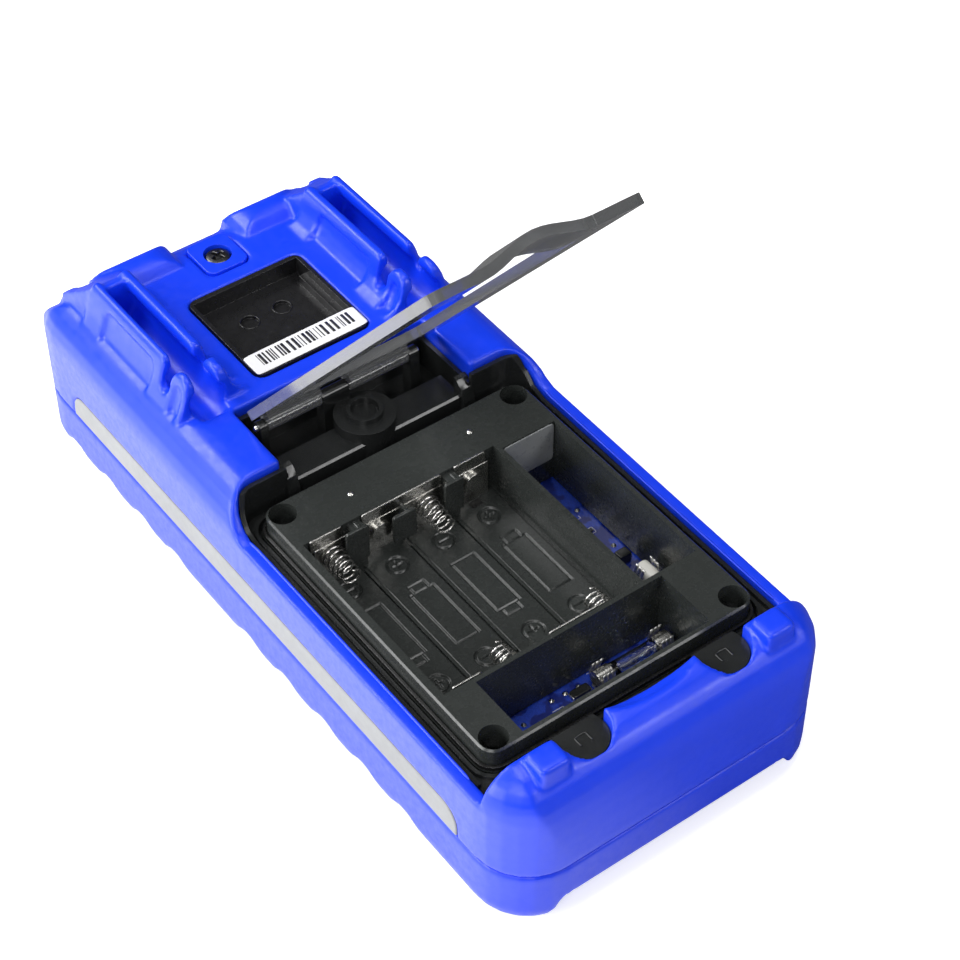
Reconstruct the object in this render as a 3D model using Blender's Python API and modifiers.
"""Handheld digital multimeter lying on its face with the tilt stand raised.

Metres, +Z up. The back of the meter looks up, +Y points to the display end, and the
battery door is absent, so the battery tray, the fuses and the board are open to view.
"""
import math

import bmesh
import bpy
from mathutils import Matrix, Vector

# Body
BODY_WIDTH = 0.1048
BODY_LENGTH = 0.2385
CROWN_HEIGHT = 0.0540
END_DROP = 0.0016
TOP_CORNER = 0.0180
BOTTOM_CORNER = 0.0168
CROWN_EDGE = 0.0118
FRONT_EDGE = 0.0055
WALL = 0.0039
GAP = 0.0003
JOINT_GAP = 0.0004
PARTING_HEIGHT = CROWN_HEIGHT * 0.3704
LIP_HEIGHT = CROWN_HEIGHT * 0.7778
FACE_OUTER = CROWN_HEIGHT * 0.1944
RIM_LIFT = CROWN_HEIGHT * 0.1574

# Opening for the battery door
DOOR_TOP = BODY_LENGTH * 0.05136
DOOR_BOTTOM = -BODY_LENGTH * 0.43711
DOOR_CORNER = 0.0070
LEDGE_HEIGHT = LIP_HEIGHT - 0.0030
LEDGE_THICKNESS = 0.0040

# Battery tray
TRAY_SIDE = 0.0055
TRAY_END_TOP = 0.0064
TRAY_END_BOTTOM = 0.0079
TRAY_WIDTH = BODY_WIDTH - 2 * (WALL + TRAY_SIDE)
TRAY_LENGTH = DOOR_TOP - DOOR_BOTTOM - TRAY_END_TOP - TRAY_END_BOTTOM
TRAY_Y = (DOOR_TOP + DOOR_BOTTOM - TRAY_END_TOP + TRAY_END_BOTTOM) / 2
TRAY_TOP = LIP_HEIGHT + 0.0040
TRAY_CORNER = 0.0045
FLANGE = 0.0013
TRAY_WALL = 0.0014
CELL_COUNT = 4
SLOT_WIDTH = TRAY_WIDTH * 0.207
BAY_LEFT = -TRAY_WIDTH / 2 + 0.0027
BAY_RIGHT = TRAY_WIDTH / 2 - 0.0019 - SLOT_WIDTH - TRAY_WALL
CELL_PITCH = (BAY_RIGHT - BAY_LEFT - 0.0006) / CELL_COUNT
BAY_TOP = TRAY_Y + TRAY_LENGTH / 2 - 0.0171
BAY_BOTTOM = TRAY_Y - TRAY_LENGTH / 2 + 0.0223
FUSE_BAY_LENGTH = 0.0193
TRAY_HOLE_RADIUS = 0.0039
TRAY_HOLE_INSET = 0.0046

# Board and fuses
BOARD_TOP = CROWN_HEIGHT * 0.4352
BOARD_THICKNESS = 0.0016
BAY_FLOOR = BOARD_TOP + 0.0065
FUSE_RADIUS = 0.0026
FUSE_LENGTH = 0.0220
SECOND_FUSE_LENGTH = 0.0160
CONTACT_THICKNESS = 0.0005
CONTACT_DROP = 0.0038
SPRING_WIRE = 0.00045

# Hinge pocket and stand
HINGE_Y = BODY_LENGTH * 0.11845
HINGE_Z = CROWN_HEIGHT - 0.0030
POCKET_TOP = HINGE_Y + 0.0075
BARREL_RADIUS = 0.0020
PIN_RADIUS = 0.0009
STAND_WIDTH = BODY_WIDTH * 0.584
STAND_LENGTH = HINGE_Y - DOOR_BOTTOM + 0.0055
POCKET_WIDTH = STAND_WIDTH + 0.0018
STAND_THICKNESS = 0.0028
STAND_ANGLE = math.radians(50.0)
STAND_LEG = STAND_WIDTH * 0.155
STAND_BAR = 0.0190
STAND_ARCH = 0.0030

# Top pocket, screw cover and strips
TRAY2_WIDTH = BODY_WIDTH * 0.3588
TRAY2_LENGTH = BODY_LENGTH * 0.1585
TRAY2_Y = BODY_LENGTH * 0.2572
TRAY2_DEPTH = 0.0055
COVER_WIDTH = 0.0136
COVER_BOTTOM = BODY_LENGTH / 2 - 0.0330
COVER_TOP = BODY_LENGTH / 2 - 0.0180
STRIP_TOP = CROWN_HEIGHT * 0.537
STRIP_LENGTH = BODY_LENGTH * 0.788
STRIP_Y = -0.00125
STRIP_DEPTH = 0.0012

# Probe holders
HOLDER_X = BODY_WIDTH * 0.3435
HOLDER_RISE = 0.0110
HUMP_START = BODY_LENGTH / 2 - 0.0240
HOLDER_BORE = 0.0056
HOLDER_MOUTH = 0.0066
EAR_START = BODY_LENGTH * 0.1704
EAR_END = EAR_START + 0.0082
WALL_START = EAR_END + 0.0040
WALL_END = BODY_LENGTH * 0.3700

# Front side
FACE_THICKNESS = 0.0024
FACE_OPENING_WIDTH = BODY_WIDTH - 0.0168
FACE_OPENING_LENGTH = BODY_LENGTH - 0.0210
WINDOW_WIDTH = BODY_WIDTH * 0.687
WINDOW_LENGTH = BODY_LENGTH * 0.1929
WINDOW_Y = BODY_LENGTH * 0.2946
LCD_THICKNESS = 0.0028
KNOB_RADIUS = BODY_WIDTH * 0.181
KNOB_Y = -BODY_LENGTH * 0.0828
KNOB_FACE = 0.0012
BUTTON_WIDTH = BODY_WIDTH * 0.1145
BUTTON_LENGTH = 0.0075
BUTTON_PROUD = 0.0026
JACK_RADIUS = BODY_WIDTH * 0.0592
JACK_BORE = JACK_RADIUS / 2
JACK_DEPTH = 0.0075
JACK_Y = -BODY_LENGTH * 0.3679


def start():
    for item in list(bpy.data.objects):
        bpy.data.objects.remove(item, do_unlink=True)


def collection(name):
    made = bpy.data.collections.new(name)
    bpy.context.scene.collection.children.link(made)
    return made


start()
PARTS = collection("digital_multimeter")
CUTTERS = collection("cutters")


def material(name, colour, roughness, metallic=0.0, alpha=1.0):
    made = bpy.data.materials.new(name)
    made.use_nodes = True
    shader = made.node_tree.nodes["Principled BSDF"]
    shader.inputs["Base Color"].default_value = (*colour, 1.0)
    shader.inputs["Roughness"].default_value = roughness
    shader.inputs["Metallic"].default_value = metallic
    shader.inputs["Alpha"].default_value = alpha
    return made


def add(name, mesh, group=PARTS, finish=None):
    item = bpy.data.objects.new(name, mesh)
    group.objects.link(item)
    if finish is not None:
        mesh.materials.clear()
        mesh.materials.append(finish)
    if group is CUTTERS:
        item.hide_render = True
        item.display_type = "WIRE"
    return item


def box(name, low, high, group=CUTTERS, finish=None, edge=0.0, steps=2):
    """A block between two corners, with all its edges rounded by edge."""
    shape = bmesh.new()
    bmesh.ops.create_cube(shape, size=1.0)
    size = [high[i] - low[i] for i in range(3)]
    middle = [(high[i] + low[i]) / 2 for i in range(3)]
    bmesh.ops.scale(shape, vec=size, verts=shape.verts)
    bmesh.ops.translate(shape, vec=middle, verts=shape.verts)
    if edge > 0:
        bmesh.ops.bevel(shape, geom=shape.edges[:], offset=edge, segments=steps, profile=0.5,
                        affect="EDGES")
    mesh = bpy.data.meshes.new(name)
    shape.to_mesh(mesh)
    shape.free()
    return add(name, mesh, group, finish)


def rounded(width, length, radius, x=0.0, y=0.0, steps=5):
    """Corner points of a rectangle with round corners, counter-clockwise."""
    points = []
    for k, (sx, sy) in enumerate(((1, 1), (-1, 1), (-1, -1), (1, -1))):
        cx = x + sx * (width / 2 - radius)
        cy = y + sy * (length / 2 - radius)
        for i in range(steps + 1):
            angle = math.pi / 2 * (k + i / steps)
            points.append((cx + radius * math.cos(angle), cy + radius * math.sin(angle)))
    return points


def body_outline(inset=0.0, steps=6):
    """Plan of the body: smaller corners at the display end, larger ones at the socket end."""
    width = BODY_WIDTH - 2 * inset
    length = BODY_LENGTH - 2 * inset
    top = rounded(width, length, max(TOP_CORNER - inset, 0.001), steps=steps)
    bottom = rounded(width, length, max(BOTTOM_CORNER - inset, 0.001), steps=steps)
    count = 2 * (steps + 1)
    return top[:count] + bottom[count:]


def slab(name, outline, low, high, group=CUTTERS, finish=None, turn=None, holes=()):
    """A flat outline made thick from low to high; turn maps its own axes to the object's."""
    curve = bpy.data.curves.new(name + "_outline", "CURVE")
    curve.dimensions = "2D"
    curve.fill_mode = "BOTH"
    curve.extrude = (high - low) / 2
    for loop in (outline, *holes):
        spline = curve.splines.new("POLY")
        spline.points.add(len(loop) - 1)
        for point, (u, v) in zip(spline.points, loop):
            point.co = (u, v, 0.0, 1.0)
        spline.use_cyclic_u = True
    guide = bpy.data.objects.new(name + "_outline", curve)
    CUTTERS.objects.link(guide)
    bpy.context.view_layer.update()
    graph = bpy.context.evaluated_depsgraph_get()
    mesh = bpy.data.meshes.new_from_object(guide.evaluated_get(graph))
    bpy.data.objects.remove(guide, do_unlink=True)
    shape = bmesh.new()
    shape.from_mesh(mesh)
    bmesh.ops.remove_doubles(shape, verts=shape.verts, dist=1e-6)
    bmesh.ops.translate(shape, vec=(0, 0, (high + low) / 2), verts=shape.verts)
    if turn is not None:
        bmesh.ops.transform(shape, matrix=turn, verts=shape.verts)
    bmesh.ops.recalc_face_normals(shape, faces=shape.faces)
    shape.to_mesh(mesh)
    shape.free()
    mesh.name = name
    return add(name, mesh, group, finish)


# An outline drawn in X and Z and made thick along Y, and one drawn in Y and Z, thick along X
ALONG_Y = Matrix(((1, 0, 0, 0), (0, 0, 1, 0), (0, 1, 0, 0), (0, 0, 0, 1)))
ALONG_X = Matrix(((0, 0, 1, 0), (1, 0, 0, 0), (0, 1, 0, 0), (0, 0, 0, 1)))


def round_rim(item, height, width, steps):
    """Round the rim of a slab: the edges that lie at one height."""
    shape = bmesh.new()
    shape.from_mesh(item.data)
    rim = []
    for edge in shape.edges:
        level = all(abs(vertex.co.z - height) < 1e-6 for vertex in edge.verts)
        if level and edge.calc_face_angle(0.0) > 0.5:
            rim.append(edge)
    bmesh.ops.bevel(shape, geom=rim, offset=width, segments=steps, profile=0.5, affect="EDGES",
                    clamp_overlap=False)
    shape.to_mesh(item.data)
    shape.free()


def cylinder(name, radius, low, high, x=0.0, y=0.0, axis="Z", group=CUTTERS, finish=None, steps=32,
             top_radius=None):
    shape = bmesh.new()
    bmesh.ops.create_cone(shape, cap_ends=True, segments=steps, radius1=radius,
                          radius2=radius if top_radius is None else top_radius, depth=high - low)
    bmesh.ops.translate(shape, vec=(0, 0, (high + low) / 2), verts=shape.verts)
    if axis == "Y":
        bmesh.ops.transform(shape, matrix=ALONG_Y, verts=shape.verts)
        bmesh.ops.translate(shape, vec=(x, 0, y), verts=shape.verts)
    elif axis == "X":
        bmesh.ops.transform(shape, matrix=ALONG_X, verts=shape.verts)
        bmesh.ops.translate(shape, vec=(0, x, y), verts=shape.verts)
    else:
        bmesh.ops.translate(shape, vec=(x, y, 0), verts=shape.verts)
    bmesh.ops.recalc_face_normals(shape, faces=shape.faces)
    mesh = bpy.data.meshes.new(name)
    shape.to_mesh(mesh)
    shape.free()
    return add(name, mesh, group, finish)


def combine(item, other, operation):
    modifier = item.modifiers.new(other.name, "BOOLEAN")
    modifier.operation = operation
    modifier.solver = "EXACT"
    modifier.object = other
    other.hide_render = True
    other.display_type = "WIRE"
    return item


def cut(item, *others):
    for other in others:
        combine(item, other, "DIFFERENCE")


def join(item, *others):
    for other in others:
        combine(item, other, "UNION")


def place(item, x, y, z, tilt=0.0):
    """Put a piece on its joint, and its cutters and added shapes with it."""
    for modifier in item.modifiers:
        if modifier.type == "BOOLEAN":
            modifier.object.parent = item
    item.location = (x, y, z)
    item.rotation_euler = (tilt, 0.0, 0.0)


def soften(item, width, steps=2, angle=35.0):
    modifier = item.modifiers.new("soft_edges", "BEVEL")
    modifier.width = width
    modifier.segments = steps
    modifier.limit_method = "ANGLE"
    modifier.angle_limit = math.radians(angle)
    modifier.harden_normals = False
    return modifier


def smooth(item, angle=35.0):
    item.data.shade_smooth()
    item.data.set_sharp_from_angle(angle=math.radians(angle))


BLUE = material("blue_rubber", (0.02, 0.05, 0.85), 0.45)
BLUE_FRONT = material("blue_rubber_front", (0.02, 0.05, 0.80), 0.45)
BLUE_COVER = material("blue_cover", (0.02, 0.05, 0.83), 0.42)
GREY_LEFT = material("grey_strip_left", (0.42, 0.42, 0.36), 0.5)
GREY_RIGHT = material("grey_strip_right", (0.42, 0.42, 0.36), 0.5)
BLACK_CASE = material("black_case", (0.02, 0.02, 0.02), 0.45)
BLACK_TRAY = material("black_tray", (0.03, 0.03, 0.03), 0.5)
BLACK_POCKET = material("black_pocket", (0.015, 0.015, 0.015), 0.5)
SEAL = material("seal_rubber", (0.01, 0.01, 0.01), 0.8)
BOARD = material("board_blue", (0.01, 0.03, 0.20), 0.35)
METAL = material("contact_metal", (0.75, 0.73, 0.68), 0.25, 1.0)
GLASS = material("fuse_glass", (0.85, 0.88, 0.90), 0.05, 0.0, 0.5)
CERAMIC = material("fuse_ceramic", (0.85, 0.85, 0.80), 0.5)
STAND_GREY = material("stand_grey", (0.25, 0.25, 0.23), 0.35)
FACE_DARK = material("face_plate_grey", (0.06, 0.06, 0.07), 0.5)
LENS = material("display_lens", (0.55, 0.60, 0.55), 0.08)
LCD = material("lcd_module", (0.40, 0.45, 0.40), 0.4)
KNOB = material("knob_black", (0.03, 0.03, 0.03), 0.4)
KEY = material("key_grey", (0.30, 0.30, 0.32), 0.5)
JACK_RED = material("jack_red", (0.55, 0.02, 0.02), 0.4)
JACK_BLACK = material("jack_black", (0.02, 0.02, 0.02), 0.4)


def own(finish, name):
    """A copy of a finish, so that each object has its own."""
    made = finish.copy()
    made.name = name
    return made


half = BODY_WIDTH / 2
reach = BODY_LENGTH / 2
holder_top = CROWN_HEIGHT + HOLDER_RISE
HIGH = holder_top + 0.01
DEEP = BOARD_TOP - 0.0020


def crown_at(y):
    """Height of the back at a place along the body: it falls a little to the socket end."""
    return CROWN_HEIGHT - END_DROP * (reach - y) / BODY_LENGTH


def meet(item, other):
    combine(item, other, "INTERSECT")

# Back shell: the blue over-moulded back with the probe holders
back = slab("back_shell", body_outline(), PARTING_HEIGHT + GAP / 2, CROWN_HEIGHT, PARTS, BLUE)
round_rim(back, CROWN_HEIGHT, CROWN_EDGE, 6)
sloped = bmesh.new()
sloped.from_mesh(back.data)
for vertex in sloped.verts:
    share = (vertex.co.z - PARTING_HEIGHT) / (CROWN_HEIGHT - PARTING_HEIGHT)
    vertex.co.z -= END_DROP * max(share, 0.0) * (reach - vertex.co.y) / BODY_LENGTH
bmesh.ops.triangulate(sloped, faces=[face for face in sloped.faces if len(face.verts) == 4])
sloped.to_mesh(back.data)
sloped.free()

# Both ends fall off in a wide curve seen from the side: distance in from the end, share of the height
TOP_END = ((0.0000, 0.42), (0.0003, 0.51), (0.0012, 0.585), (0.0028, 0.665), (0.0050, 0.745), (0.0078, 0.825),
           (0.0112, 0.895), (0.0152, 0.948), (0.0198, 0.982), (0.0250, 1.001), (0.0300, 1.010))
BOTTOM_END = ((0.0000, 0.42), (0.0003, 0.56), (0.0007, 0.66), (0.0012, 0.74), (0.0022, 0.81), (0.0040, 0.868),
              (0.0062, 0.912), (0.0090, 0.943), (0.0120, 0.960), (0.0150, 0.9675), (0.0210, 0.990))


def side_profile(name, inset):
    """The body's outline seen from the side, taken in by an inset, made thick across the body."""
    points = [(-reach - 0.01, -0.01), (reach + 0.01, -0.01), (reach + 0.01, CROWN_HEIGHT * TOP_END[0][1] - 0.001)]
    points += [(reach - inset - u, CROWN_HEIGHT * v - inset * 0.9) for u, v in TOP_END]
    points += [(-reach + inset + u, CROWN_HEIGHT * v - inset * 0.9) for u, v in reversed(BOTTOM_END)]
    points.append((-reach - 0.01, CROWN_HEIGHT * BOTTOM_END[0][1] - 0.001))
    return slab(name, points, -BODY_WIDTH, BODY_WIDTH, turn=ALONG_X)


meet(back, side_profile("end_profile", 0.0))

# Probe holders: two walls and a pair of ears each, with a sunk panel in a raised frame
base = CROWN_HEIGHT - 0.0100
arch_mid = (EAR_START + EAR_END) / 2
arch_half_width = (EAR_END - EAR_START) / 2
gap_mid = (EAR_END + WALL_START) / 2
gap_half = (WALL_START - EAR_END) / 2
wall_side = [(WALL_END + 0.004, base), (WALL_END + 0.004, holder_top), (WALL_START + 0.0012, holder_top),
             (WALL_START + 0.0002, holder_top - 0.0012), (WALL_START + 0.0002, CROWN_HEIGHT + 0.0045)]
for i in range(1, 6):
    angle = math.pi * i / 6
    wall_side.append((gap_mid + gap_half * math.cos(angle), CROWN_HEIGHT + 0.0040 - gap_half * math.sin(angle)))
wall_side.append((EAR_END - 0.0001, CROWN_HEIGHT + 0.0045))
for i in range(0, 9):
    angle = math.pi * i / 8
    wall_side.append((arch_mid + arch_half_width * math.cos(angle),
                      holder_top - arch_half_width * (1 - math.sin(angle))))
wall_side.append((EAR_START, base))
panel_low = CROWN_HEIGHT - 0.0070
wall_panel = [(WALL_START + 0.0045, panel_low), (WALL_END - 0.0050, panel_low),
              (WALL_END - 0.0050, holder_top - 0.0048), (WALL_END - 0.0066, holder_top - 0.0030),
              (WALL_START + 0.0060, holder_top - 0.0030), (WALL_START + 0.0045, holder_top - 0.0048)]
ear_panel = [(arch_mid - 0.0020, panel_low), (arch_mid + 0.0020, panel_low)]
for i in range(0, 5):
    angle = math.pi * i / 4
    ear_panel.append((arch_mid + 0.0020 * math.cos(angle), holder_top - 0.0052 + 0.0020 * math.sin(angle)))
# Cross-sections of a wall, as distance from the probe's axis and height over the crown
inward_frame = ((0.0030, -0.0100), (0.0030, 0.0104), (0.0037, 0.0110), (0.0054, 0.0110), (0.0063, 0.0104),
                (0.0070, 0.0080), (0.0078, 0.0040), (0.0098, 0.0012), (0.0132, -0.0004), (0.0132, -0.0100))
inward_core = ((0.0030, -0.0100), (0.0030, 0.0104), (0.0037, 0.0109), (0.0049, 0.0109), (0.0056, 0.0095),
               (0.0067, 0.0040), (0.0082, 0.0012), (0.0096, -0.0004), (0.0096, -0.0100))
outward_frame = ((0.0030, -0.0100), (0.0030, 0.0104), (0.0036, 0.0110), (0.0048, 0.0110), (0.0057, 0.0104),
                 (0.0068, 0.0075), (0.0082, 0.0028), (0.0102, -0.0015), (0.0128, -0.0065), (0.0136, -0.0100))
outward_core = ((0.0030, -0.0100), (0.0030, 0.0104), (0.0036, 0.0109), (0.0045, 0.0109), (0.0052, 0.0095),
                (0.0066, 0.0040), (0.0080, 0.0000), (0.0096, -0.0050), (0.0100, -0.0100))


def wall_section(name, section, way, side):
    """A holder wall made along Y from its cross-section; way is +1 for the outer wall."""
    points = [(side * (HOLDER_X + way * u), CROWN_HEIGHT + v) for u, v in section]
    return slab(name, points, EAR_START - 0.001, WALL_END + 0.005, turn=ALONG_Y)


for side, tag in ((-1, "left"), (1, "right")):
    for way, where, frame_shape, core_shape in ((-1, "in", inward_frame, inward_core),
                                                (1, "out", outward_frame, outward_core)):
        wall = wall_section("holder_wall_%s_%s" % (where, tag), frame_shape, way, side)
        meet(wall, slab("wall_outline_%s_%s" % (where, tag), wall_side, side * HOLDER_X - 0.02,
                        side * HOLDER_X + 0.02, turn=ALONG_X))
        panel_edges = sorted((side * (HOLDER_X + way * 0.0036), side * (HOLDER_X + way * 0.0180)))
        for part, outline in (("wall", wall_panel), ("ear", ear_panel)):
            panel = slab("%s_panel_%s_%s" % (part, where, tag), outline, panel_edges[0], panel_edges[1], turn=ALONG_X)
            cut(panel, wall_section("%s_core_%s_%s" % (part, where, tag), core_shape, way, side))
            cut(wall, panel)
        join(back, wall)
    root_side = [(WALL_END - 0.0030, base), (WALL_END - 0.0030, holder_top - 0.0012),
                 (WALL_END + 0.0010, holder_top - 0.0004), (WALL_END + 0.0040, holder_top - 0.0018),
                 (WALL_END + 0.0080, holder_top - 0.0048), (WALL_END + 0.0125, holder_top - 0.0080),
                 (WALL_END + 0.0180, CROWN_HEIGHT - 0.0006), (WALL_END + 0.0200, base)]
    root = slab("holder_root_" + tag, root_side, side * HOLDER_X - 0.02, side * HOLDER_X + 0.02, turn=ALONG_X)
    dome = ((-0.0098, -0.0095), (-0.0090, -0.0015), (-0.0078, 0.0045), (-0.0064, 0.0086), (-0.0042, 0.0107),
            (0.0042, 0.0107), (0.0062, 0.0086), (0.0075, 0.0045), (0.0088, -0.0015), (0.0106, -0.0095))
    meet(root, slab("holder_dome_" + tag, [(side * (HOLDER_X + u), CROWN_HEIGHT + v) for u, v in dome],
                    WALL_END - 0.01, reach, turn=ALONG_Y))
    hump_x = side * (HOLDER_X - 0.0140)
    hump_side = [(HUMP_START - 0.0030, base), (HUMP_START - 0.0014, CROWN_HEIGHT - 0.0006),
                 (HUMP_START + 0.0002, CROWN_HEIGHT + 0.0008), (HUMP_START + 0.0022, CROWN_HEIGHT + 0.0022),
                 (HUMP_START + 0.0044, CROWN_HEIGHT + 0.0030), (HUMP_START + 0.0066, CROWN_HEIGHT + 0.0031),
                 (HUMP_START + 0.0088, CROWN_HEIGHT + 0.0024), (HUMP_START + 0.0106, CROWN_HEIGHT + 0.0009),
                 (HUMP_START + 0.0120, CROWN_HEIGHT - 0.0012), (HUMP_START + 0.0130, CROWN_HEIGHT - 0.0040),
                 (HUMP_START + 0.0134, base)]
    hump = slab("end_hump_" + tag, hump_side, hump_x - 0.02, hump_x + 0.02, turn=ALONG_X)
    arch = ((-0.0132, -0.0095), (-0.0122, -0.0012), (-0.0104, 0.0010), (-0.0074, 0.0024), (-0.0036, 0.0031),
            (0.0036, 0.0031), (0.0074, 0.0024), (0.0104, 0.0010), (0.0122, -0.0012), (0.0132, -0.0095))
    meet(hump, slab("hump_arch_" + tag, [(hump_x + u, CROWN_HEIGHT + v) for u, v in arch],
                    HUMP_START - 0.01, reach, turn=ALONG_Y))
    join(back, root, hump)

# Clip bumps that hold the folded stand
BUMP_SIZE = 0.0092
bump_x = STAND_WIDTH / 2 + JOINT_GAP + BUMP_SIZE / 2
end_crown = crown_at(DOOR_BOTTOM)
for side, tag in ((-1, "left"), (1, "right")):
    bump = box("clip_bump_" + tag,
               (side * bump_x - BUMP_SIZE / 2, DOOR_BOTTOM - 0.0094, end_crown - 0.0070),
               (side * bump_x + BUMP_SIZE / 2, DOOR_BOTTOM - 0.0012, end_crown + 0.0022), edge=0.0013, steps=3)
    join(back, bump)

# Hollow, the lowered door zone and the openings
hollow = slab("shell_hollow", body_outline(WALL), 0.0, LIP_HEIGHT + 0.002)
meet(hollow, side_profile("hollow_profile", WALL))
rise = CROWN_HEIGHT - LIP_HEIGHT
slope = [(-0.0125, 0.00), (-0.0108, 0.03), (-0.0085, 0.14), (-0.0060, 0.34), (-0.0036, 0.60), (-0.0015, 0.82),
         (0.0005, 0.95), (0.0022, 1.02)]
door_zone = slab("door_zone",
                 [(DOOR_BOTTOM, LIP_HEIGHT)] + [(DOOR_TOP + u, LIP_HEIGHT + rise * v) for u, v in slope]
                 + [(DOOR_TOP + 0.0022, HIGH), (DOOR_BOTTOM, HIGH)],
                 -BODY_WIDTH, BODY_WIDTH, turn=ALONG_X)
opening_length = DOOR_TOP - DOOR_BOTTOM
opening_y = (DOOR_TOP + DOOR_BOTTOM) / 2
opening_width = BODY_WIDTH - 2 * WALL
door_opening = slab("door_opening", rounded(opening_width, opening_length, DOOR_CORNER, 0.0, opening_y), DEEP, HIGH)
pocket_cut = box("hinge_pocket_cut", (-POCKET_WIDTH / 2, DOOR_TOP - 0.010, DEEP), (POCKET_WIDTH / 2, POCKET_TOP, HIGH))
top_pocket_cut = slab("top_pocket_cut",
                      rounded(TRAY2_WIDTH + 2 * GAP, TRAY2_LENGTH + 2 * GAP, 0.0028, 0.0, TRAY2_Y), DEEP, HIGH)
cover_length = COVER_TOP - COVER_BOTTOM
cover_y = (COVER_TOP + COVER_BOTTOM) / 2
cover_top = crown_at(cover_y) + 0.0003
cover_cut = slab("screw_cover_cut",
                 rounded(COVER_WIDTH + 2 * GAP, cover_length + 2 * GAP, 0.0030, 0.0, cover_y),
                 cover_top - 0.0030, HIGH)
cut(back, hollow, door_zone, door_opening, pocket_cut, top_pocket_cut, cover_cut)

bore_z = CROWN_HEIGHT + HOLDER_BORE - 0.0030
half_round_x = STAND_WIDTH * 0.366
for side, tag in ((-1, "left"), (1, "right")):
    x = side * HOLDER_X
    bore = cylinder("holder_bore_" + tag, HOLDER_BORE, EAR_START - 0.0035, WALL_END, x, bore_z, "Y", steps=28)
    mouth = box("holder_mouth_" + tag, (x - HOLDER_MOUTH / 2, EAR_START - 0.010, bore_z),
                (x + HOLDER_MOUTH / 2, WALL_END, HIGH))
    notch = box("end_notch_" + tag, (side * (HOLDER_X + 0.0020) - 0.0018, reach - 0.0165, CROWN_HEIGHT - 0.0048),
                (side * (HOLDER_X + 0.0020) + 0.0018, reach + 0.001, HIGH))
    recess = cylinder("half_round_cut_" + tag, 0.0078, DEEP, HIGH, side * half_round_x, DOOR_BOTTOM - 0.0012)
    cut(back, bore, mouth, notch, recess)
    strip_cut = slab("strip_cut_" + tag,
                     rounded(STRIP_LENGTH + 2 * GAP, 2 * (STRIP_TOP + GAP - PARTING_HEIGHT), 0.0060, STRIP_Y,
                             PARTING_HEIGHT, 4),
                     half - STRIP_DEPTH, half + 0.002, turn=ALONG_X)
    if side < 0:
        strip_cut.data.transform(Matrix.Scale(-1, 4, (1, 0, 0)))
        strip_cut.data.flip_normals()
    cut(back, strip_cut)

scoop_shape = bmesh.new()
bmesh.ops.create_uvsphere(scoop_shape, u_segments=24, v_segments=12, radius=1.0)
bmesh.ops.scale(scoop_shape, vec=(0.0155, 0.0060, 0.0040), verts=scoop_shape.verts)
bmesh.ops.translate(scoop_shape, vec=(0.0, DOOR_BOTTOM + 0.0010, end_crown + 0.0008), verts=scoop_shape.verts)
scoop_mesh = bpy.data.meshes.new("finger_scoop")
scoop_shape.to_mesh(scoop_mesh)
scoop_shape.free()
cut(back, add("finger_scoop", scoop_mesh, CUTTERS))
smooth(back, 30)

# Front shell: the blue front half, scalloped along its long sides
front = slab("front_shell", body_outline(), 0.0, PARTING_HEIGHT - GAP / 2, PARTS, BLUE_FRONT)
round_rim(front, 0.0, FRONT_EDGE, 3)
front_hollow = slab("front_hollow", body_outline(WALL), FACE_OUTER, PARTING_HEIGHT + 0.01)
front_opening = slab("front_opening",
                     rounded(FACE_OPENING_WIDTH, FACE_OPENING_LENGTH, 0.0090), -0.01, FACE_OUTER + 0.001)
cut(front, front_hollow, front_opening)
rim_half = FACE_OPENING_WIDTH / 2
rim_side = [(-rim_half, -0.01), (rim_half, -0.01), (rim_half - 0.0030, 0.0), (rim_half - 0.0048, RIM_LIFT * 0.40),
            (rim_half - 0.0070, RIM_LIFT * 0.84), (rim_half - 0.0095, RIM_LIFT), (-rim_half + 0.0095, RIM_LIFT),
            (-rim_half + 0.0070, RIM_LIFT * 0.84), (-rim_half + 0.0048, RIM_LIFT * 0.40), (-rim_half + 0.0030, 0.0)]
for end, tag in ((-1, "bottom"), (1, "top")):
    edges = sorted((end * reach * 0.80, end * reach * 1.2))
    cut(front, slab("rim_cut_" + tag, rim_side, edges[0], edges[1], turn=ALONG_Y))
NOTCH_PITCH = BODY_LENGTH * 0.0776
NOTCH_RADIUS = 0.0110
NOTCH_DEPTH = 0.0022
notches = [BODY_LENGTH * 0.4015 - NOTCH_PITCH * k for k in range(4)]
notches += [BODY_LENGTH * 0.0094 - NOTCH_PITCH * k for k in range(5)]
for side, tag in ((-1, "left"), (1, "right")):
    for k, y in enumerate(notches):
        notch = cylinder("grip_notch_%s_%d" % (tag, k + 1), NOTCH_RADIUS, -0.012, 0.012, steps=28)
        along = Vector((side * 1.0, 0.0, 1.0)).normalized()
        outward = Vector((side * 1.0, 0.0, -1.0)).normalized()
        mid = Vector((side * (half - FRONT_EDGE * 0.29), y, FRONT_EDGE * 0.29))
        centre = mid + outward * (NOTCH_RADIUS - NOTCH_DEPTH)
        turn = along.to_track_quat("Z", "Y").to_matrix().to_4x4()
        notch.data.transform(Matrix.Translation(centre) @ turn)
        cut(front, notch)
smooth(front, 30)

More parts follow.
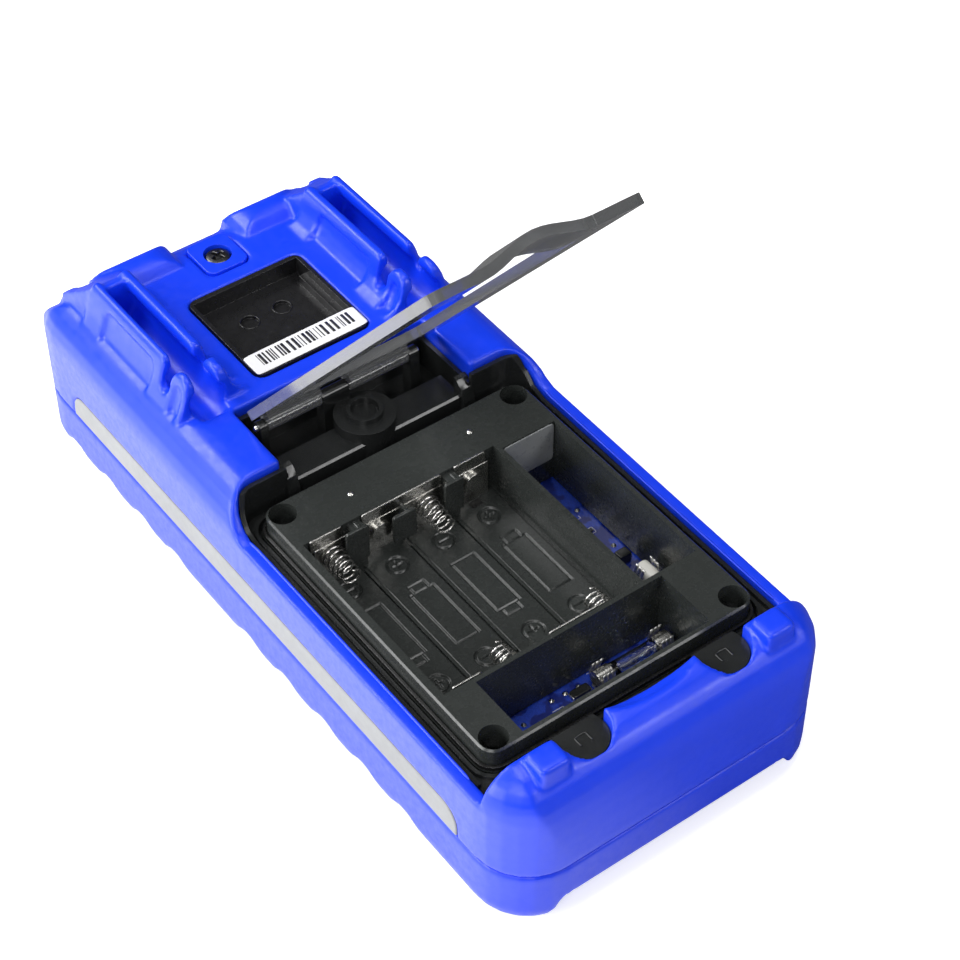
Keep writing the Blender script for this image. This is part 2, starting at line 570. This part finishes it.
# Grey strips along both sides
for side, tag, finish in ((-1, "left", GREY_LEFT), (1, "right", GREY_RIGHT)):
    strip = slab("side_strip_" + tag,
                 rounded(STRIP_LENGTH, 2 * (STRIP_TOP - PARTING_HEIGHT), 0.0057, STRIP_Y, PARTING_HEIGHT, 4),
                 half - STRIP_DEPTH + GAP, half, PARTS, finish, turn=ALONG_X)
    lower_half = box("strip_trim_" + tag, (-BODY_WIDTH, -BODY_LENGTH, -0.05),
                     (BODY_WIDTH, BODY_LENGTH, PARTING_HEIGHT + GAP))
    if side < 0:
        strip.data.transform(Matrix.Scale(-1, 4, (1, 0, 0)))
        strip.data.flip_normals()
    cut(strip, lower_half)
    soften(strip, 0.0003, 1, 60)
    smooth(strip)

# Inner case: black ledge round the tray, hinge pocket, half-round tabs
case = slab("inner_case",
            rounded(opening_width - 2 * GAP, opening_length - 2 * GAP, DOOR_CORNER - GAP, 0.0, opening_y),
            LEDGE_HEIGHT - LEDGE_THICKNESS, LEDGE_HEIGHT, PARTS, BLACK_CASE)
seat_width = TRAY_WIDTH + 2 * FLANGE + 0.0016
seat_length = TRAY_LENGTH + 2 * FLANGE + 0.0016
tray_hole = slab("tray_hole", rounded(seat_width - 0.0030, seat_length - 0.0030, 0.0045, 0.0, TRAY_Y), 0.0, HIGH)
tray_seat = slab("tray_seat", rounded(seat_width, seat_length, 0.0060, 0.0, TRAY_Y), LEDGE_HEIGHT - 0.0022, HIGH)
pocket_half = POCKET_WIDTH / 2 - GAP
pocket_floor = box("pocket_floor", (-pocket_half, DOOR_TOP - 0.0020, LEDGE_HEIGHT - LEDGE_THICKNESS),
                   (pocket_half, POCKET_TOP - GAP, LEDGE_HEIGHT - 0.0010))
step_half = pocket_half - 0.0028
pocket_step = box("pocket_step", (-step_half, DOOR_TOP - 0.0010, LEDGE_HEIGHT - LEDGE_THICKNESS),
                  (step_half, HINGE_Y - 0.0062, TRAY_TOP - 0.0015), edge=0.0006, steps=1)
pocket_back = box("pocket_back", (-pocket_half, POCKET_TOP - GAP - 0.0014, LEDGE_HEIGHT - LEDGE_THICKNESS),
                  (pocket_half, POCKET_TOP - GAP, CROWN_HEIGHT - 0.0035))
shoulder_profile = [(DOOR_TOP - 0.0030, LEDGE_HEIGHT - 0.003), (DOOR_TOP + 0.0024, LEDGE_HEIGHT - 0.003),
                    (DOOR_TOP + 0.0024, TRAY_TOP + 0.0030), (DOOR_TOP + 0.0010, TRAY_TOP + 0.0026),
                    (DOOR_TOP - 0.0012, TRAY_TOP + 0.0004), (DOOR_TOP - 0.0024, TRAY_TOP - 0.0026),
                    (DOOR_TOP - 0.0030, LEDGE_HEIGHT)]
join(case, pocket_floor)
cut(case, tray_hole, tray_seat)
join(case, pocket_step, pocket_back)
for side, tag in ((-1, "left"), (1, "right")):
    side_wall = box("pocket_side_" + tag,
                    (min(side * pocket_half, side * (pocket_half - 0.0013)), DOOR_TOP - 0.0010,
                     LEDGE_HEIGHT - LEDGE_THICKNESS),
                    (max(side * pocket_half, side * (pocket_half - 0.0013)), POCKET_TOP - GAP,
                     HINGE_Z - 0.0030))
    shoulder = slab("pocket_shoulder_" + tag, shoulder_profile,
                    min(side * (step_half - 0.001), side * pocket_half),
                    max(side * (step_half - 0.001), side * pocket_half), turn=ALONG_X)
    tab = cylinder("half_round_tab_" + tag, 0.0075, LEDGE_HEIGHT - LEDGE_THICKNESS, TRAY_TOP + 0.0022,
                   side * half_round_x, DOOR_BOTTOM - 0.0012)
    tab_trim = box("half_round_trim_" + tag,
                   (side * half_round_x - 0.010, DOOR_BOTTOM + 0.0022, LEDGE_HEIGHT),
                   (side * half_round_x + 0.010, DOOR_BOTTOM + 0.0120, HIGH))
    join(case, side_wall, shoulder, tab)
    cut(case, tab_trim)

# Black wall that follows the opening's edge, low along the rails and high below the back's edge
case_wall = slab("case_wall", rounded(opening_width - 2 * GAP, opening_length - 2 * GAP, DOOR_CORNER - GAP, 0.0,
                                      opening_y),
                 LEDGE_HEIGHT - 0.0010, CROWN_HEIGHT - 0.0032,
                 holes=(rounded(opening_width - 2 * GAP - 0.0026, opening_length - 2 * GAP - 0.0026,
                                DOOR_CORNER - GAP - 0.0013, 0.0, opening_y),))
low_wall = LIP_HEIGHT - 0.0014
cut(case_wall, slab("case_wall_trim",
                    [(DOOR_BOTTOM - 0.01, low_wall), (DOOR_TOP - 0.0125, low_wall), (DOOR_TOP - 0.0075, low_wall + rise * 0.12),
                     (DOOR_TOP - 0.0040, low_wall + rise * 0.50), (DOOR_TOP - 0.0020, low_wall + rise * 0.90),
                     (DOOR_TOP - 0.0020, HIGH), (DOOR_BOTTOM - 0.01, HIGH)],
                    -BODY_WIDTH, BODY_WIDTH, turn=ALONG_X))
cut(case_wall, box("case_wall_gap", (-pocket_half + 0.0005, DOOR_TOP - 0.0100, LEDGE_HEIGHT),
                   (pocket_half - 0.0005, DOOR_TOP + 0.01, HIGH)))
cut(case_wall, box("case_wall_end", (-half, DOOR_BOTTOM - 0.01, LEDGE_HEIGHT), (half, DOOR_BOTTOM + 0.0060, HIGH)))
ledge_rim = slab("ledge_rim", rounded(seat_width + 0.0022, seat_length + 0.0022, 0.0071, 0.0, TRAY_Y),
                 LEDGE_HEIGHT - 0.0015, LEDGE_HEIGHT + 0.0012,
                 holes=(rounded(seat_width, seat_length, 0.0060, 0.0, TRAY_Y),))
join(case, case_wall, ledge_rim)

# Knuckles that carry the stand's pin, and the round boss in the pocket
knuckles = [(a * STAND_WIDTH, b * STAND_WIDTH) for a, b in ((-0.4690, -0.4314), (-0.1356, 0.0033), (0.3415, 0.3922))]
for k, (left, right) in enumerate(knuckles):
    post = box("knuckle_post_%d" % (k + 1), (left, HINGE_Y - BARREL_RADIUS, LEDGE_HEIGHT - 0.0030),
               (right, HINGE_Y + BARREL_RADIUS, HINGE_Z))
    crown = cylinder("knuckle_crown_%d" % (k + 1), BARREL_RADIUS, left, right, HINGE_Y, HINGE_Z, "X", steps=20)
    join(case, post, crown)
pin_hole = cylinder("pin_hole", PIN_RADIUS + JOINT_GAP, knuckles[0][0] - 0.0003, knuckles[2][1] + 0.0005,
                    HINGE_Y, HINGE_Z, "X", steps=16)
boss_y = DOOR_TOP + 0.0063
boss = cylinder("pocket_boss", 0.0088, LEDGE_HEIGHT - 0.002, TRAY_TOP + 0.0020, 0.0, boss_y, steps=36)
boss_top = cylinder("pocket_boss_top", 0.0052, LEDGE_HEIGHT - 0.002, TRAY_TOP + 0.0038, 0.0, boss_y, steps=28)
boss_hole = cylinder("pocket_boss_hole", 0.0040, TRAY_TOP + 0.0018, HIGH, 0.0, boss_y, steps=24)
cut(case, pin_hole)
join(case, boss, boss_top)
cut(case, boss_hole)
smooth(case, 30)

# Battery tray: raised island with the cell bay, the fuse bay and the side slot
tray_low = BOARD_TOP + 0.0006
tray = slab("battery_tray", rounded(TRAY_WIDTH, TRAY_LENGTH, TRAY_CORNER, 0.0, TRAY_Y),
            LEDGE_HEIGHT - 0.0004, TRAY_TOP, PARTS, BLACK_TRAY)
round_rim(tray, TRAY_TOP, 0.0005, 1)
flange = slab("tray_flange",
              rounded(TRAY_WIDTH + 2 * FLANGE, TRAY_LENGTH + 2 * FLANGE, TRAY_CORNER + FLANGE, 0.0, TRAY_Y),
              LEDGE_HEIGHT - 0.0016, LEDGE_HEIGHT + 0.0004)
body_top = BAY_TOP + TRAY_WALL
body_bottom = TRAY_Y - TRAY_LENGTH / 2 + 0.0003
tray_body = slab("tray_body",
                 rounded(TRAY_WIDTH - 0.0020, body_top - body_bottom, TRAY_CORNER - 0.0003, 0.0,
                         (body_top + body_bottom) / 2), tray_low, LEDGE_HEIGHT + 0.001)
join(tray, flange, tray_body)
bay_floor = BAY_FLOOR
bay = box("cell_bay", (BAY_LEFT, BAY_BOTTOM, bay_floor), (BAY_RIGHT, BAY_TOP, HIGH))
slot_left = BAY_RIGHT + TRAY_WALL
side_slot = box("side_slot", (slot_left, BAY_BOTTOM, 0.0), (slot_left + SLOT_WIDTH, BAY_TOP - 0.0022, HIGH))
fuse_top = BAY_BOTTOM - TRAY_WALL
fuse_bay = box("fuse_bay", (BAY_LEFT + 0.0087, fuse_top - FUSE_BAY_LENGTH, 0.0),
               (TRAY_WIDTH / 2 - 0.0147, fuse_top, HIGH))
cut(tray, bay, side_slot, fuse_bay)
hole_x = TRAY_WIDTH / 2 - TRAY_HOLE_INSET
hole_y = TRAY_LENGTH / 2 - TRAY_HOLE_INSET + 0.0002
for k, (sx, sy) in enumerate(((-1, 1), (1, 1), (1, -1), (-1, -1))):
    support = cylinder("tray_pillar_%d" % (k + 1), TRAY_HOLE_RADIUS + 0.0004, TRAY_TOP - 0.0130, TRAY_TOP - 0.001,
                       sx * hole_x, TRAY_Y + sy * hole_y, steps=24)
    hole = cylinder("tray_hole_%d" % (k + 1), TRAY_HOLE_RADIUS, TRAY_TOP - 0.0115, HIGH,
                    sx * hole_x, TRAY_Y + sy * hole_y, steps=24)
    join(tray, support)
    cut(tray, hole)
for k in range(1, CELL_COUNT):
    x = BAY_LEFT + k * CELL_PITCH + 0.0003
    rib = box("floor_rib_%d" % k, (x - 0.0004, BAY_BOTTOM + 0.0110, bay_floor - 0.001),
              (x + 0.0004, BAY_TOP - 0.0050, bay_floor + 0.0009))
    join(tray, rib)
blocks = ((1, BAY_TOP, -1), (3, BAY_TOP, -1), (2, BAY_BOTTOM, 1))
for k, (line, edge, way) in enumerate(blocks):
    x = BAY_LEFT + line * CELL_PITCH + 0.0003
    y = edge
    block = box("contact_block_%d" % (k + 1),
                (x - 0.0019, min(y - way * 0.001, y + way * 0.0036), bay_floor - 0.001),
                (x + 0.0019, max(y - way * 0.001, y + way * 0.0036), TRAY_TOP - 0.0012))
    join(tray, block)
smooth(tray, 30)

# Seal round the tray
seal_low = LEDGE_HEIGHT + 0.0004 + GAP
seal = slab("seal_ring",
            rounded(TRAY_WIDTH + 2 * FLANGE - 0.0002, TRAY_LENGTH + 2 * FLANGE - 0.0002, TRAY_CORNER + FLANGE,
                    0.0, TRAY_Y),
            seal_low, seal_low + 0.0012, PARTS, SEAL,
            holes=(rounded(TRAY_WIDTH + 2 * GAP, TRAY_LENGTH + 2 * GAP, TRAY_CORNER + GAP, 0.0, TRAY_Y),))
smooth(seal)

# Board
board = slab("circuit_board",
             body_outline(WALL + 0.0015),
             BOARD_TOP - BOARD_THICKNESS, BOARD_TOP, PARTS, BOARD)

# Fuses and their clips
FUSE_Z = BOARD_TOP + 0.0008 + FUSE_RADIUS + 0.0010


def clip_outline(spread):
    inner = spread + 0.00025
    outer = inner + CONTACT_THICKNESS
    foot = -FUSE_RADIUS - 0.0012
    return [(-outer, foot - CONTACT_THICKNESS), (outer, foot - CONTACT_THICKNESS), (outer, 0.0026),
            (inner, 0.0026), (inner, foot), (-inner, foot), (-inner, 0.0026), (-outer, 0.0026)]


fuse_x = TRAY_WIDTH * 0.170
fuse_y = fuse_top - 0.0060
fuse_a = cylinder("fuse_main", FUSE_RADIUS * 0.86, fuse_x - FUSE_LENGTH / 2 + 0.004, fuse_x + FUSE_LENGTH / 2 - 0.004,
                  fuse_y, FUSE_Z, "X", PARTS, GLASS, 20)
smooth(fuse_a)
for k, way in ((1, -1), (2, 1)):
    ends = sorted((fuse_x + way * (FUSE_LENGTH / 2 - 0.0040 + GAP), fuse_x + way * (FUSE_LENGTH / 2 + 0.0012)))
    cap = cylinder("fuse_main_cap_%d" % k, FUSE_RADIUS, ends[0], ends[1], fuse_y, FUSE_Z, "X",
                   PARTS, own(METAL, "fuse_cap_%d" % k), 20)
    smooth(cap)
    turn = Matrix.Translation((0, fuse_y, FUSE_Z)) @ ALONG_X
    slab("fuse_main_clip_%d" % k, clip_outline(FUSE_RADIUS), ends[0] + 0.0004, ends[1] - 0.0004, PARTS,
         own(METAL, "fuse_clip_%d" % k), turn=turn)

second_x = slot_left + SLOT_WIDTH - 0.0042
second_y = BAY_BOTTOM + GAP + SECOND_FUSE_LENGTH / 2
fuse_b = cylinder("fuse_second", FUSE_RADIUS, second_y - SECOND_FUSE_LENGTH / 2, second_y + SECOND_FUSE_LENGTH / 2,
                  second_x, FUSE_Z, "Y", PARTS, CERAMIC, 20)
smooth(fuse_b)
turn = Matrix.Translation((second_x, 0, FUSE_Z)) @ ALONG_Y
slab("fuse_second_clip", clip_outline(FUSE_RADIUS), second_y + SECOND_FUSE_LENGTH / 2 - 0.0046,
     second_y + SECOND_FUSE_LENGTH / 2 - 0.0006, PARTS, own(METAL, "fuse_second_clip"), turn=turn)

# Battery contacts and springs
cell_z = bay_floor + 0.0076


def cell_x(number):
    return BAY_LEFT + (number - 0.5) * CELL_PITCH + 0.0005


def contact(name, first, last, end, buttons):
    """A sheet contact at one end of the bay, joining the cells first to last."""
    way = 1 if end == "top" else -1
    wall = BAY_TOP if end == "top" else BAY_BOTTOM
    far = wall - way * GAP
    near = far - way * CONTACT_THICKNESS
    left = cell_x(first) - 0.0055
    right = cell_x(last) + 0.0055
    plate = box(name, (left, min(near, far), bay_floor + GAP), (right, max(near, far), TRAY_TOP - CONTACT_DROP),
                PARTS, own(METAL, name + "_metal"))
    for number in buttons:
        tip = near - way * 0.0012
        button = cylinder("%s_button_%d" % (name, number), 0.0032, min(tip, far - way * 0.0001),
                          max(tip, far - way * 0.0001), cell_x(number), cell_z, "Y", steps=20)
        join(plate, button)
    smooth(plate)
    return plate


contact("contact_top_1", 1, 1, "top", ())
contact("contact_top_2", 2, 3, "top", (2,))
contact("contact_top_3", 4, 4, "top", (4,))
contact("contact_bottom_1", 1, 2, "bottom", (1,))
contact("contact_bottom_2", 3, 4, "bottom", (3,))


def spring(name, number, end):
    """A conical coil standing on the contact and pointing into the bay."""
    way = 1 if end == "top" else -1
    root = (BAY_TOP if end == "top" else BAY_BOTTOM) - way * (2 * GAP + CONTACT_THICKNESS + SPRING_WIRE)
    turns = 4.5
    steps = 12
    length = 0.0092
    count = int(turns * steps) + 1
    curve = bpy.data.curves.new(name, "CURVE")
    curve.dimensions = "3D"
    curve.bevel_depth = SPRING_WIRE
    curve.bevel_resolution = 1
    curve.resolution_u = 2
    curve.render_resolution_u = 0
    curve.use_fill_caps = True
    spline = curve.splines.new("POLY")
    spline.points.add(count - 1)
    for i, point in enumerate(spline.points):
        share = i / (count - 1)
        angle = 2 * math.pi * i / steps
        radius = 0.0042 - 0.0014 * share
        rise = length * share
        point.co = (cell_x(number) + radius * math.cos(angle), root - way * rise,
                    cell_z + radius * math.sin(angle), 1.0)
    guide = bpy.data.objects.new(name + "_path", curve)
    CUTTERS.objects.link(guide)
    bpy.context.view_layer.update()
    graph = bpy.context.evaluated_depsgraph_get()
    mesh = bpy.data.meshes.new_from_object(guide.evaluated_get(graph))
    bpy.data.objects.remove(guide, do_unlink=True)
    shape = bmesh.new()
    shape.from_mesh(mesh)
    bmesh.ops.remove_doubles(shape, verts=shape.verts, dist=1e-6)
    bmesh.ops.recalc_face_normals(shape, faces=shape.faces)
    shape.to_mesh(mesh)
    shape.free()
    made = add(name, mesh, PARTS, own(METAL, name + "_wire"))
    smooth(made, 60)


spring("spring_1", 1, "top")
spring("spring_3", 3, "top")
spring("spring_2", 2, "bottom")
spring("spring_4", 4, "bottom")

# Top pocket: black tray with two dimples and a shelf
frame_top = crown_at(TRAY2_Y) + 0.0003
pocket = slab("top_pocket", rounded(TRAY2_WIDTH, TRAY2_LENGTH, 0.0025, 0.0, TRAY2_Y),
              frame_top - TRAY2_DEPTH - 0.0015, frame_top, PARTS, BLACK_POCKET)
well_top = TRAY2_Y + TRAY2_LENGTH / 2 - 0.0016
well_bottom = TRAY2_Y - TRAY2_LENGTH / 2 + 0.0092
well_half = TRAY2_WIDTH / 2 - 0.0013
floor = frame_top - TRAY2_DEPTH
well = box("pocket_well", (-well_half, well_bottom, floor), (well_half, well_top, HIGH))
shelf = box("pocket_shelf", (well_half - 0.0022, well_bottom - 0.0005, floor - 0.0008),
            (well_half + 0.0004, well_top - 0.0045, floor + 0.0028))
cut(pocket, well)
join(pocket, shelf)
for k, x in ((1, -0.0055), (2, 0.0055)):
    dimple = cylinder("pocket_dimple_%d" % k, 0.0027, floor - 0.0009, HIGH, x, TRAY2_Y + TRAY2_LENGTH * 0.184,
                      steps=24)
    cut(pocket, dimple)
smooth(pocket)

# Screw cover at the top end
cover = slab("screw_cover", rounded(COVER_WIDTH, cover_length, 0.0027, 0.0, cover_y),
             cover_top - 0.0030 + GAP, cover_top, PARTS, BLUE_COVER)
round_rim(cover, cover_top, 0.0004, 2)
cut(cover, cylinder("cover_screw_hole", 0.0042, DEEP, HIGH, 0.0, cover_y - 0.0003, steps=28))
smooth(cover)

# Stand, drawn folded about its hinge and then raised
lift = BARREL_RADIUS + 0.0003
stand_half = STAND_WIDTH / 2
start_t = 0.0012
stand_mid = -(start_t + STAND_LENGTH) / 2
stand = slab("stand", rounded(STAND_WIDTH, STAND_LENGTH - start_t, 0.0030, 0.0, stand_mid, 3),
             lift, lift + STAND_THICKNESS, PARTS, STAND_GREY)
window_top = -0.0125
window_bottom = -(STAND_LENGTH - STAND_BAR)
window = slab("stand_window",
              rounded(STAND_WIDTH - 2 * STAND_LEG, window_top - window_bottom, 0.0040, 0.0,
                      (window_top + window_bottom) / 2, 3), -0.01, 0.02)
arch_half = STAND_WIDTH * 0.2614
arch_gap = box("stand_arch_gap", (-arch_half + 0.0004, -STAND_LENGTH - 0.01, -0.01),
               (arch_half - 0.0004, window_bottom + 0.0002, 0.02))
outer_arc = []
inner_arc = []
ARC_STEPS = 12
for i in range(ARC_STEPS + 1):
    share = i / ARC_STEPS
    u = -arch_half + 2 * arch_half * share
    rise = STAND_ARCH * math.sin(math.pi * share) ** 2
    outer_arc.append((u, lift + STAND_THICKNESS + rise))
    inner_arc.append((u, lift + rise))
arch = slab("stand_arch", inner_arc + outer_arc[::-1], -STAND_LENGTH + 0.0004, window_bottom - 0.0004,
            turn=ALONG_Y)
cut(stand, window, arch_gap)
join(stand, arch)
barrels = [(a * STAND_WIDTH, b * STAND_WIDTH) for a, b in ((-0.4248, -0.1422), (0.0098, 0.3350))]
for k, (left, right) in enumerate(barrels):
    barrel = cylinder("stand_barrel_%d" % (k + 1), BARREL_RADIUS, left, right, 0.0, 0.0, "X", steps=20)
    web = box("stand_web_%d" % (k + 1), (left, -0.0042, -0.0002), (right, 0.0012, lift + STAND_THICKNESS))
    join(stand, barrel, web)
pin = cylinder("stand_pin", PIN_RADIUS, knuckles[0][0] - 0.0002, knuckles[2][1] + 0.0001, 0.0, 0.0, "X", steps=16)
join(stand, pin)
place(stand, 0.0, HINGE_Y, HINGE_Z, -STAND_ANGLE)
smooth(stand, 30)

# Face plate with its openings, on the hidden side
plate_low = FACE_OUTER + GAP
plate = slab("face_plate",
             body_outline(WALL + GAP),
             plate_low, plate_low + FACE_THICKNESS, PARTS, FACE_DARK)
plate_top = plate_low + FACE_THICKNESS
window_cut = slab("window_cut", rounded(WINDOW_WIDTH + 2 * GAP, WINDOW_LENGTH + 2 * GAP, 0.0033, 0.0, WINDOW_Y),
                  0.0, BOARD_TOP)
knob_cut = cylinder("knob_cut", 0.0030 + JOINT_GAP, 0.0, BOARD_TOP, 0.0, KNOB_Y, steps=24)
cut(plate, window_cut, knob_cut)

lens = slab("display_lens", rounded(WINDOW_WIDTH, WINDOW_LENGTH, 0.0030, 0.0, WINDOW_Y),
            plate_low + 0.0004, plate_low + FACE_THICKNESS, PARTS, LENS)
lcd = box("lcd_module", (-WINDOW_WIDTH / 2 - 0.002, WINDOW_Y - WINDOW_LENGTH / 2 - 0.002,
                         plate_top + GAP),
          (WINDOW_WIDTH / 2 + 0.002, WINDOW_Y + WINDOW_LENGTH / 2 + 0.002, plate_top + GAP + LCD_THICKNESS),
          PARTS, LCD)

# Rotary knob with its pointer bar and shaft
knob = cylinder("rotary_knob", KNOB_RADIUS, KNOB_FACE + 0.0022, FACE_OUTER - GAP, 0.0, 0.0, "Z", PARTS, KNOB, 40)
grip = box("knob_grip", (-0.0052, -KNOB_RADIUS + 0.0006, KNOB_FACE), (0.0052, KNOB_RADIUS - 0.0006, FACE_OUTER - 0.001),
           edge=0.0010, steps=2)
shaft = cylinder("knob_shaft", 0.0030, FACE_OUTER - 0.002, BOARD_TOP - BOARD_THICKNESS - JOINT_GAP, steps=24)
join(knob, grip, shaft)
place(knob, 0.0, KNOB_Y, 0.0)
smooth(knob, 30)

# Push buttons in two rows of three
for row, y in ((0, BODY_LENGTH * 0.1373), (1, BODY_LENGTH * 0.0744)):
    for column in range(3):
        number = row * 3 + column + 1
        x = (column - 1) * BODY_WIDTH * 0.2433
        key = slab("button_%d" % number, rounded(BUTTON_WIDTH, BUTTON_LENGTH, 0.0022, 0.0, 0.0, 3),
                   plate_low - BUTTON_PROUD, plate_top + 0.0024, PARTS, own(KEY, "key_%d" % number))
        round_rim(key, plate_low - BUTTON_PROUD, 0.0006, 2)
        collar = box("button_collar_%d" % number,
                     (-BUTTON_WIDTH / 2 - 0.0010, -BUTTON_LENGTH / 2 - 0.0010,
                      plate_top + JOINT_GAP),
                     (BUTTON_WIDTH / 2 + 0.0010, BUTTON_LENGTH / 2 + 0.0010, plate_top + 0.0024))
        join(key, collar)
        place(key, x, y, 0.0)
        hole = slab("button_cut_%d" % number,
                    rounded(BUTTON_WIDTH + 2 * JOINT_GAP, BUTTON_LENGTH + 2 * JOINT_GAP, 0.0026, x, y, 3),
                    0.0, BOARD_TOP)
        cut(plate, hole)
        smooth(key)

# Input jacks
for k in range(4):
    x = BODY_WIDTH * 0.2195 * (k - 1.5)
    finish = JACK_BLACK if k == 2 else JACK_RED
    jack = cylinder("input_jack_%d" % (k + 1), JACK_RADIUS, FACE_OUTER - 0.0012, BOARD_TOP - BOARD_THICKNESS - GAP,
                    x, JACK_Y, "Z", PARTS, own(finish, "jack_finish_%d" % (k + 1)), 28)
    jack_bore = cylinder("jack_bore_%d" % (k + 1), JACK_BORE, 0.0, FACE_OUTER + JACK_DEPTH, x, JACK_Y, steps=20)
    jack_cut = cylinder("jack_cut_%d" % (k + 1), JACK_RADIUS + GAP, 0.0, BOARD_TOP, x, JACK_Y, steps=28)
    cut(jack, jack_bore)
    cut(plate, jack_cut)
    smooth(jack)
smooth(plate)
